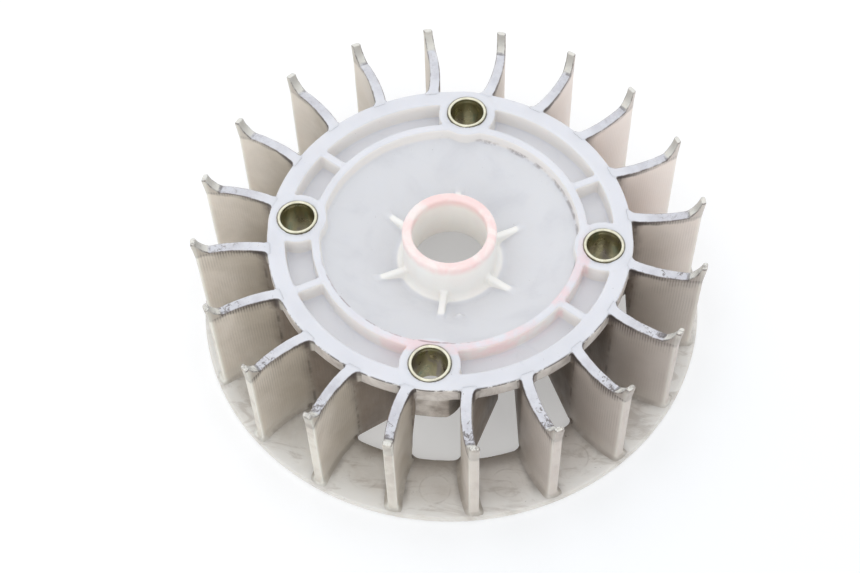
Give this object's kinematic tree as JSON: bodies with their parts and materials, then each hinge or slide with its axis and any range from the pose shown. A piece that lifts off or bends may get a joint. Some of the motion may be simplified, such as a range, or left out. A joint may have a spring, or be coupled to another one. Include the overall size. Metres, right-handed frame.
{
  "type": "flywheel cooling fan",
  "caption": "Curved-blade centrifugal fan wheel with a flat shroud ring, a dished and bored centre, and steel-sleeved bosses that bolt it to an engine flywheel.",
  "frame": {"origin": "on the wheel axis, at the underside of the shroud ring", "axes": "+Z along the wheel axis from the shroud ring towards the flywheel side; +X and +Y through two neighbouring bosses"},
  "size_m": [0.1372, 0.1372, 0.0373],
  "materials": {
    "nylon": "natural milky nylon, satin, stained greige by dust and oil",
    "sleeve_steel": "yellow-passivated zinc over steel, worn bright on the lip"
  },
  "bodies": {
    "root": {"shroud_ring": "nylon", "outer_rim": "nylon", "channel_floor": "nylon", "channel_ribs": "nylon", "inner_wall": "nylon", "centre_dish": "nylon", "hub_tube": "nylon", "hub_gussets": "nylon", "boss_1": "nylon", "boss_2": "nylon", "boss_3": "nylon", "boss_4": "nylon", "blade_01": "nylon", "blade_02": "nylon", "blade_03": "nylon", "blade_04": "nylon", "blade_05": "nylon", "blade_06": "nylon", "blade_07": "nylon", "blade_08": "nylon", "blade_09": "nylon", "blade_10": "nylon", "blade_11": "nylon", "blade_12": "nylon", "blade_13": "nylon", "blade_14": "nylon", "blade_15": "nylon", "blade_16": "nylon", "blade_17": "nylon", "blade_18": "nylon", "blade_19": "nylon", "blade_20": "nylon", "sleeve_1": "sleeve_steel", "sleeve_2": "sleeve_steel", "sleeve_3": "sleeve_steel", "sleeve_4": "sleeve_steel"}
  },
  "joints": []
}
